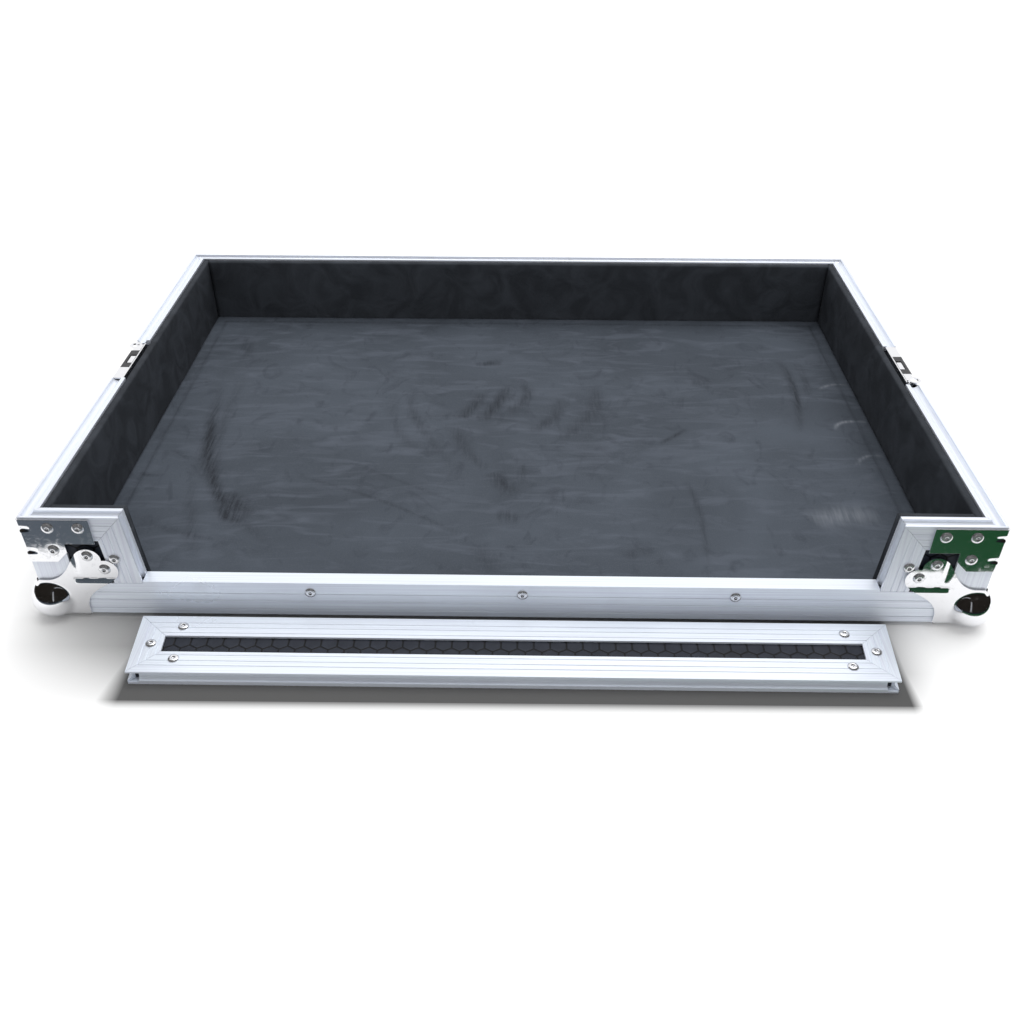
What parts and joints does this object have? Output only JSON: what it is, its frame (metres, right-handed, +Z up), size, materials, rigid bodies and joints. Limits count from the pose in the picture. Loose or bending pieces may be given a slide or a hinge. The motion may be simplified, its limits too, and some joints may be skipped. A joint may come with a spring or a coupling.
{
  "type": "dj controller flight case tray",
  "caption": "Open foam-lined flight case tray with grooved aluminium edges, ball corners, recessed butterfly latches and a removable front panel lying before it.",
  "frame": {"origin": "on the floor, under the middle of the whole object's box, the loose front panel included", "axes": "+X to the case's right, along its length; +Y from the open front to the back; +Z up"},
  "size_m": [0.816, 0.6316, 0.106],
  "materials": {
    "aluminium": "satin anodised extrusion with fine ribs",
    "chrome": "bright plated pressed steel",
    "laminate": "9 mm plywood under a black hexagon-patterned laminate",
    "wall_foam": "near-black closed-cell foam",
    "floor_foam": "dark slate-grey closed-cell foam, scuffed",
    "black_steel": "black coated steel"
  },
  "bodies": {
    "tray": {"base_board": "laminate", "back_board": "laminate", "front_board": "laminate", "floor_foam": "floor_foam", "back_foam": "wall_foam", "back_rim": "aluminium", "front_sill": "aluminium", "back_bottom_angle": "aluminium", "left_board": "laminate", "left_foam": "wall_foam", "left_return_foam": "wall_foam", "left_rim_front": "aluminium", "left_rim_rear": "aluminium", "left_return_rail": "aluminium", "left_jamb": "aluminium", "left_bottom_angle": "aluminium", "right_board": "laminate", "right_foam": "wall_foam", "right_return_foam": "wall_foam", "right_rim_front": "aluminium", "right_rim_rear": "aluminium", "right_return_rail": "aluminium", "right_jamb": "aluminium", "right_bottom_angle": "aluminium", "front_left_post": "aluminium", "front_left_ball_corner": "chrome", "front_left_brace": "chrome", "front_right_post": "aluminium", "front_right_ball_corner": "chrome", "front_right_brace": "chrome", "rear_left_post": "aluminium", "rear_left_ball_corner": "chrome", "rear_left_brace": "chrome", "rear_right_post": "aluminium", "rear_right_ball_corner": "chrome", "rear_right_brace": "chrome", "left_latch_dish": "chrome", "left_padlock_eye": "chrome", "left_hook_guide": "black_steel", "right_latch_dish": "chrome", "right_padlock_eye": "chrome", "right_hook_guide": "black_steel"},
    "left_latch_hook": {"left_latch_hook": "chrome"},
    "left_latch_spindle": {"left_latch_spindle": "chrome"},
    "left_latch_wing_front": {"left_latch_wing_front": "chrome"},
    "left_latch_wing_rear": {"left_latch_wing_rear": "chrome"},
    "right_latch_hook": {"right_latch_hook": "chrome"},
    "right_latch_spindle": {"right_latch_spindle": "chrome"},
    "right_latch_wing_front": {"right_latch_wing_front": "chrome"},
    "right_latch_wing_rear": {"right_latch_wing_rear": "chrome"},
    "front_panel": {"panel_board": "laminate", "panel_front_rail": "aluminium", "panel_rear_rail": "aluminium", "panel_left_stile": "aluminium", "panel_right_stile": "aluminium"}
  },
  "joints": [
    {"name": "left_latch_turn", "type": "hinge", "parent": "tray", "child": "left_latch_spindle", "pos_m": [-0.385, 0.03285, 0.066], "axis": [-1, 0, 0], "range_deg": [0, 180]},
    {"name": "left_hook_slide", "type": "slide", "parent": "tray", "child": "left_latch_hook", "axis": [0, 0, 1], "range_m": [0, 0.01]},
    {"name": "left_front_wing_fold", "type": "hinge", "parent": "left_latch_spindle", "child": "left_latch_wing_front", "pos_m": [-0.3921, 0.03025, 0.066], "axis": [0, 0, -1], "range_deg": [0, 90]},
    {"name": "left_rear_wing_fold", "type": "hinge", "parent": "left_latch_spindle", "child": "left_latch_wing_rear", "pos_m": [-0.3921, 0.03545, 0.066], "axis": [0, 0, 1], "range_deg": [0, 90]},
    {"name": "right_latch_turn", "type": "hinge", "parent": "tray", "child": "right_latch_spindle", "pos_m": [0.385, 0.03285, 0.066], "axis": [1, 0, 0], "range_deg": [0, 180]},
    {"name": "right_hook_slide", "type": "slide", "parent": "tray", "child": "right_latch_hook", "axis": [0, 0, 1], "range_m": [0, 0.01]},
    {"name": "right_front_wing_fold", "type": "hinge", "parent": "right_latch_spindle", "child": "right_latch_wing_front", "pos_m": [0.3921, 0.03025, 0.066], "axis": [0, 0, 1], "range_deg": [0, 90]},
    {"name": "right_rear_wing_fold", "type": "hinge", "parent": "right_latch_spindle", "child": "right_latch_wing_rear", "pos_m": [0.3921, 0.03545, 0.066], "axis": [0, 0, -1], "range_deg": [0, 90]},
    {"name": "front_panel_lift", "type": "slide", "parent": "tray", "child": "front_panel", "axis": [0, 0, 1], "range_m": [0, 0.3]}
  ],
  "couplings": [
    {"joint": "left_hook_slide", "follows": "left_latch_turn", "m_per_rad": 0.00318},
    {"joint": "left_rear_wing_fold", "follows": "left_front_wing_fold", "ratio": 1},
    {"joint": "right_hook_slide", "follows": "right_latch_turn", "m_per_rad": 0.00318},
    {"joint": "right_rear_wing_fold", "follows": "right_front_wing_fold", "ratio": 1}
  ]
}
